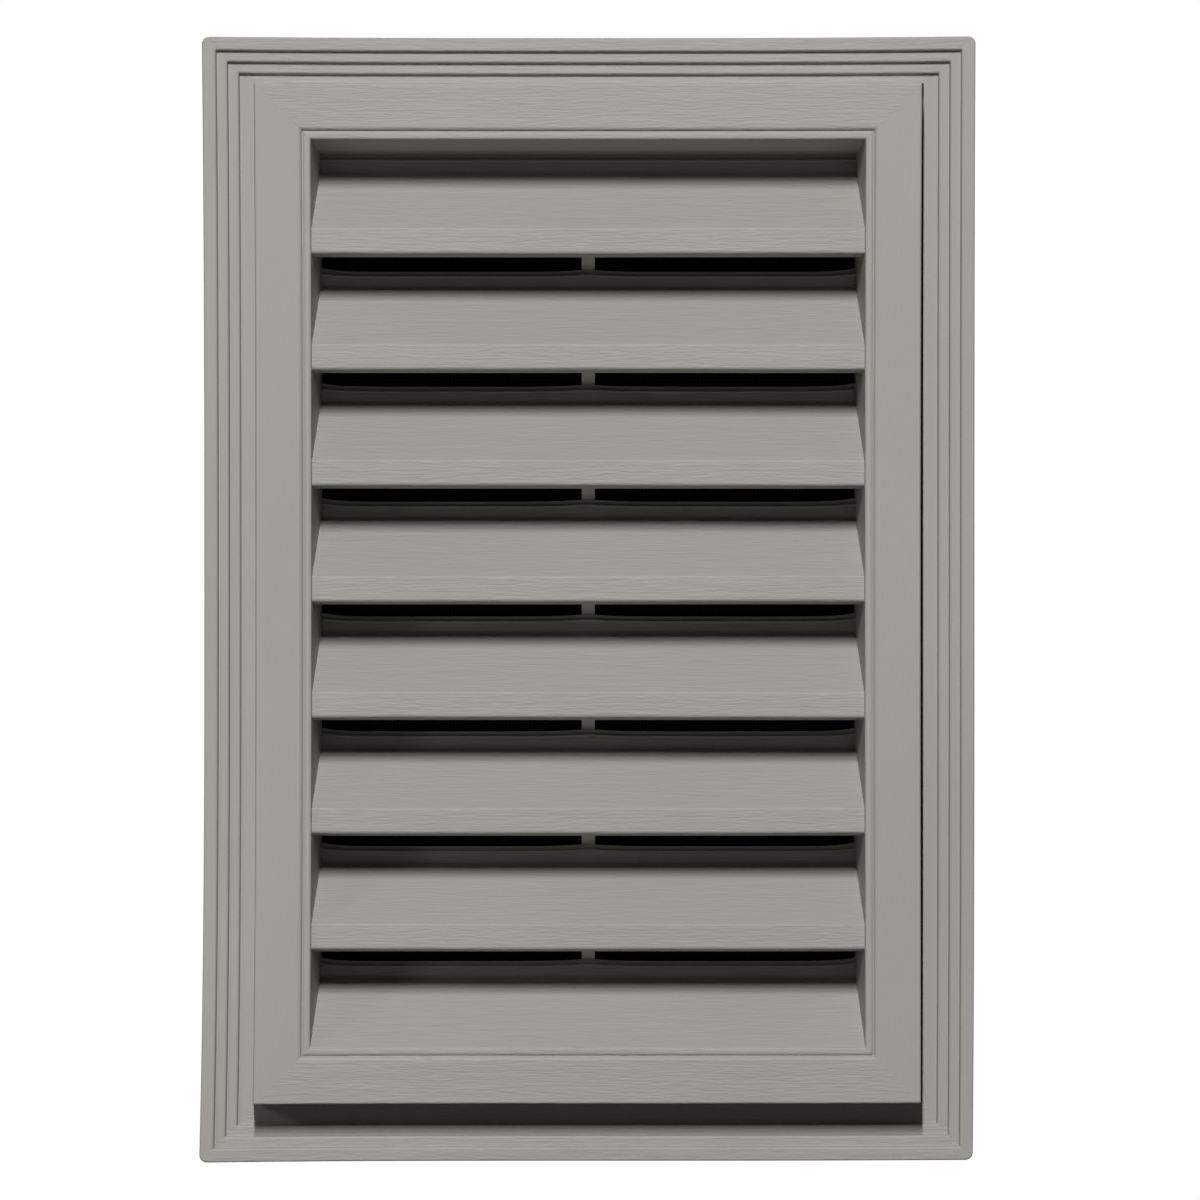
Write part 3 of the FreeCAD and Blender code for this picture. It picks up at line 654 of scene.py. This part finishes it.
shells = [ring_around(frame_section, 1.0)] + webs_around(frame_web, 1.0)

first_foot = FIRST_TOP - UPSTAND_HEIGHT
first_lip = first_foot - RISE
lip_bottom = first_lip - LIP_HEIGHT
lip_edge = lip_bottom + LIP_DRIP
slope = RISE / (FOOT_Y - LIP_Y)
slat_drop = SLAT_WALL * math.hypot(1, slope)
upstand = [
    (STRIP_Y, FIRST_TOP, BREAK),
    (STRIP_Y, FIRST_TOP - UPSTAND_STRIP, BREAK),
    (FOOT_Y - LEDGE_BEAD, FIRST_TOP - UPSTAND_STRIP, LEDGE_BEAD),
    (FOOT_Y - LEDGE_BEAD, FIRST_TOP - UPSTAND_STRIP - 2 * LEDGE_BEAD, LEDGE_BEAD),
    (FOOT_Y, FIRST_TOP - UPSTAND_STRIP - 2.5 * LEDGE_BEAD, BREAK / 2),
    (FOOT_Y, first_foot, FOOT_RADIUS),
]
slat_section = rounded_section(
    upstand
    + [
        (LIP_Y, first_lip, CREST_RADIUS),
        (LIP_Y, lip_edge, LIP_RADIUS),
        (RETURN_Y, lip_bottom, BREAK),
        (RETURN_Y, lip_bottom + SLAT_WALL, BREAK),
        (LIP_Y + SLAT_WALL, lip_edge + SLAT_WALL, FILLET),
        (LIP_Y + SLAT_WALL, first_lip + SLAT_WALL * slope - slat_drop, FILLET),
        (SEAT_Y, first_foot + (SEAT_Y - FOOT_Y) * slope - slat_drop, BREAK),
        (SEAT_Y, FIRST_TOP, BREAK),
    ]
)
lipped_tops = FIRST_TOP - PITCH * np.arange(SLAT_COUNT - 1)
last_drop = PITCH * (SLAT_COUNT - 1)
slat_bows = np.where(np.arange(SLAT_COUNT - 1) > 0, UPSTAND_BOW, 0.0)
shells.append(across_opening(slat_section, lipped_tops, slat_bows, LIP_WANDER))

# The lowest slat has no lip and runs straight down to the bead of the sill
sill_y = BEAD_Y + BEAD_RADIUS / 2
sill_z = OPENING_BOTTOM + BEAD_RADIUS / 4
sill_top = sill_z + last_drop
sill_slope = (first_foot - sill_top) / (FOOT_Y - sill_y)
sill_drop = SLAT_WALL * math.hypot(1, sill_slope)
sill_section = rounded_section(
    upstand
    + [
        (sill_y, sill_top, BREAK),
        (sill_y, sill_top - WALL / 2, BREAK),
        (sill_y + 2 * WALL, sill_top - WALL / 2, BREAK),
        (SEAT_Y, first_foot + (SEAT_Y - FOOT_Y) * sill_slope - sill_drop, BREAK),
        (SEAT_Y, FIRST_TOP, BREAK),
    ]
)
shells.append(across_opening(sill_section, [FIRST_TOP - last_drop], UPSTAND_BOW))

soffit_section = rounded_section(
    [
        (BEAD_Y + BEAD_RADIUS, OPENING_TOP, BREAK),
        (STRIP_Y, FIRST_TOP, BREAK),
        (SEAT_Y, FIRST_TOP, BREAK),
        (SEAT_Y, OPENING_TOP - (SEAT_Y - BEAD_Y) * TAPER + WALL / 2, BREAK),
        (BEAD_Y + BEAD_RADIUS, OPENING_TOP + WALL / 2, BREAK),
    ]
)
shells.append(across_opening(soffit_section, [FIRST_TOP]))

rib_outline = np.array(
    [
        (RETURN_Y, lip_bottom),
        (STRIP_Y, lip_bottom - SLOT_GAP),
        (SEAT_Y, lip_bottom - SLOT_GAP),
        (SEAT_Y, first_foot),
        (LIP_Y + SLAT_WALL / 2, first_lip - SLAT_WALL / 6),
        (LIP_Y + SLAT_WALL / 2, lip_edge + SLAT_WALL / 2),
    ]
)
rib_z = rib_outline[None, :, 1] - PITCH * np.arange(SLAT_COUNT - 1)[:, None]
ribs = np.stack(np.broadcast_arrays(0.0, rib_outline[None, :, 0], rib_z), -1)
shells.append(plates(ribs, 2 * RIB_HALF, (1, 0, 0)))

sill_rib = np.array(
    [
        (0.0, SEAT_Y, first_foot - last_drop),
        (0.0, sill_y + 2 * WALL, sill_z),
        (0.0, sill_y + 2 * WALL, sill_z - WALL / 2),
        (0.0, SEAT_Y, sill_z - WALL / 2),
    ]
)
shells.append(plates(sill_rib[None], 2 * RIB_HALF, (1, 0, 0)))

# Stakes on the upstands, melted over to low domes behind the screen
button_y = SEAT_Y + SCREEN_THICKNESS
dome = np.linspace(0.0, DOME_SWEEP, DOME_POINTS)
dome_height = BUTTON_HEIGHT - BUTTON_EDGE
stake_outline = np.concatenate(
    [
        [(STAKE_RADIUS, STRIP_Y), (STAKE_RADIUS, button_y), (BUTTON_RADIUS - BUTTON_EDGE, button_y)],
        np.stack([BUTTON_RADIUS * np.cos(dome), button_y + BUTTON_EDGE + dome_height * np.sin(dome)], -1),
    ]
)
stake_rows = FIRST_TOP - UPSTAND_HEIGHT / 2 - PITCH * np.arange(SLAT_COUNT)
stake_x, stake_z = np.meshgrid((-STAKE_X, STAKE_X), stake_rows)
shells.append(turned(stake_outline, np.stack([stake_x.ravel(), stake_z.ravel()], -1)))

vent_moulding = make_piece("vent_moulding", shells, moulding, FRAME_BOW, FRAME_BOW, VENT_SHIFT)
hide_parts("vent_body")
for piece in (border_trim, vent_moulding):
    even = piece.modifiers.new("even_shading", "WEIGHTED_NORMAL")
    even.keep_sharp = True


# The fly screen
def yarns(starts, ends, radius=YARN_RADIUS, sides=6):
    """Straight yarns from starts to ends along X or Z: a circle about each line, at its two ends."""
    line = ends - starts
    line /= np.linalg.norm(line, axis=1, keepdims=True)
    out = np.array((0.0, 1.0, 0.0))
    side = np.cross(line, out)
    angle = np.linspace(0, 2 * math.pi, sides, endpoint=False)[None, :, None]
    circle = radius * (np.cos(angle) * out + np.sin(angle) * side[:, None])
    return closed_bars(np.stack([starts[:, None] + circle, ends[:, None] + circle], 2))


screen_half = OPENING_HALF - SCREEN_INSET
screen_bottom = OPENING_BOTTOM + SCREEN_INSET
screen_top = OPENING_TOP - SCREEN_INSET
up_count = round(2 * screen_half / YARN_PITCH)
level_count = round((screen_top - screen_bottom) / YARN_PITCH)
up_x = np.linspace(-screen_half + YARN_RADIUS, screen_half - YARN_RADIUS, up_count)
level_z = np.linspace(screen_bottom + YARN_RADIUS, screen_top - YARN_RADIUS, level_count)
up_y = np.full_like(up_x, SEAT_Y + YARN_RADIUS + YARN_REST)
level_y = np.full_like(level_z, SEAT_Y + SCREEN_THICKNESS - YARN_RADIUS - YARN_REST)
upright = yarns(
    np.stack([up_x, up_y, np.full_like(up_x, screen_bottom)], -1),
    np.stack([up_x, up_y, np.full_like(up_x, screen_top)], -1),
)
level = yarns(
    np.stack([np.full_like(level_z, -screen_half), level_y, level_z], -1),
    np.stack([np.full_like(level_z, screen_half), level_y, level_z], -1),
)
fly_screen = make_piece("fly_screen", [upright, level], yarn, shift=VENT_SHIFT, crease=70)
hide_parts("insect_screen")


# Studio: floor, a black card of painted shade behind the openings, lamps and camera
def sheet_of(name, corners, material):
    """Put a flat four-cornered sheet in the studio."""
    mesh = bpy.data.meshes.new(name)
    mesh.from_pydata(corners, [], [(0, 1, 2, 3)])
    mesh.materials.append(material)
    sheet = bpy.data.objects.new(name, mesh)
    scene.collection.objects.link(sheet)


def stage_material(name):
    """Start a studio material that is clear from behind. Gives it, its tree and the input of its front."""
    material = bpy.data.materials.new(name)
    material.use_nodes = True
    tree = material.node_tree
    tree.nodes.clear()
    clear = put(tree, "ShaderNodeBsdfTransparent").outputs[0]
    behind = put(tree, "ShaderNodeNewGeometry").outputs["Backfacing"]
    sides = put(tree, "ShaderNodeMixShader", {0: behind, 2: clear})
    put(tree, "ShaderNodeOutputMaterial", {"Surface": sides.outputs[0]})
    return material, tree, sides.inputs[1]


floor_paint, tree, front = stage_material("floor_paint")
matt = put(tree, "ShaderNodeBsdfDiffuse", {"Color": FLOOR_GREY}).outputs[0]
white = put(tree, "ShaderNodeEmission", {"Color": WHITE, "Strength": 1.0}).outputs[0]
seen = put(tree, "ShaderNodeLightPath").outputs["Is Camera Ray"]
paper = put(tree, "ShaderNodeMixShader", {0: calc(tree, "MULTIPLY", seen, FLOOR_GLOW), 1: matt, 2: white})
tree.links.new(paper.outputs[0], front)

# The floor's height, half width and depth behind the vent, in metres
FLOOR_Z = -0.6
FLOOR_SIDE = 9.0
FLOOR_BACK = 4.0
floor_corners = [
    (-FLOOR_SIDE, -FLOOR_SIDE, FLOOR_Z),
    (FLOOR_SIDE, -FLOOR_SIDE, FLOOR_Z),
    (FLOOR_SIDE, FLOOR_BACK, FLOOR_Z),
    (-FLOOR_SIDE, FLOOR_BACK, FLOOR_Z),
]
sheet_of("floor", floor_corners, floor_paint)

# A black card close behind the screen is painted shade: it stands for the unlit space in the wall
painted_shade_card, tree, front = stage_material("painted_shade_card")
black = put(tree, "ShaderNodeBsdfDiffuse", {"Color": SHADE_CARD_BLACK}).outputs[0]
tree.links.new(black, front)
card_y = button_y + BUTTON_HEIGHT + CARD_GAP
card_inset = (card_y - BEAD_Y) * TAPER - WALL / 4
card_x = (OPENING_HALF - card_inset) * MM
card_bottom = (OPENING_BOTTOM + card_inset) * MM
card_top = (OPENING_TOP - card_inset) * MM
card_corners = [
    (-card_x, card_y * MM, card_bottom),
    (card_x, card_y * MM, card_bottom),
    (card_x, card_y * MM, card_top),
    (-card_x, card_y * MM, card_top),
]
sheet_of("card_behind", card_corners, painted_shade_card)

world = bpy.data.worlds.new("studio")
scene.world = world
world.use_nodes = True
tree = world.node_tree
tree.nodes.clear()
dim = put(tree, "ShaderNodeBackground", {"Color": WHITE, "Strength": ROOM_GLOW}).outputs[0]
white = put(tree, "ShaderNodeBackground", {"Color": WHITE, "Strength": 1.0}).outputs[0]
seen = put(tree, "ShaderNodeLightPath").outputs["Is Camera Ray"]
sky = put(tree, "ShaderNodeMixShader", {0: seen, 1: dim, 2: white})
put(tree, "ShaderNodeOutputWorld", {"Surface": sky.outputs[0]})


def softbox(name, target, azimuth, elevation, distance, wide, tall, watts):
    """Put a rectangular lamp that faces a target. Azimuth is to the left of the camera's side."""
    lamp = bpy.data.lights.new(name, "AREA")
    lamp.shape = "RECTANGLE"
    lamp.size = wide
    lamp.size_y = tall
    lamp.energy = watts
    box = bpy.data.objects.new(name, lamp)
    a, e = math.radians(azimuth), math.radians(elevation)
    box.location = (
        target[0] - distance * math.cos(e) * math.sin(a),
        target[1] - distance * math.cos(e) * math.cos(a),
        target[2] + distance * math.sin(e),
    )
    box.rotation_euler = (math.pi / 2 - e, 0, -a)
    scene.collection.objects.link(box)


middle = (0.0, 0.0, 0.0)
low_left = (-0.15, -0.02, -0.23)
softbox("key_softbox", middle, azimuth=2.2, elevation=31.7, distance=4.87, wide=0.15, tall=1.2, watts=230)
softbox("corner_fill", low_left, azimuth=45, elevation=18.6, distance=0.3, wide=0.05, tall=0.05, watts=0.07)
softbox("back_softbox", middle, azimuth=160, elevation=35, distance=3, wide=1.6, tall=1.2, watts=60)

# The camera looks straight along +Y. Its place is in metres, with the distance from the frame's face.
CAMERA_DISTANCE = 3.903
CAMERA_X = 0.0051
CAMERA_Z = -0.0003
camera = bpy.data.cameras.new("camera")
camera.sensor_width = 36.0
camera.lens = 256.5
camera.clip_end = 100.0
viewpoint = bpy.data.objects.new("camera", camera)
viewpoint.location = (CAMERA_X, FACE_Y * MM - CAMERA_DISTANCE, CAMERA_Z)
viewpoint.rotation_euler = (math.pi / 2, 0, 0)
scene.collection.objects.link(viewpoint)
scene.camera = viewpoint
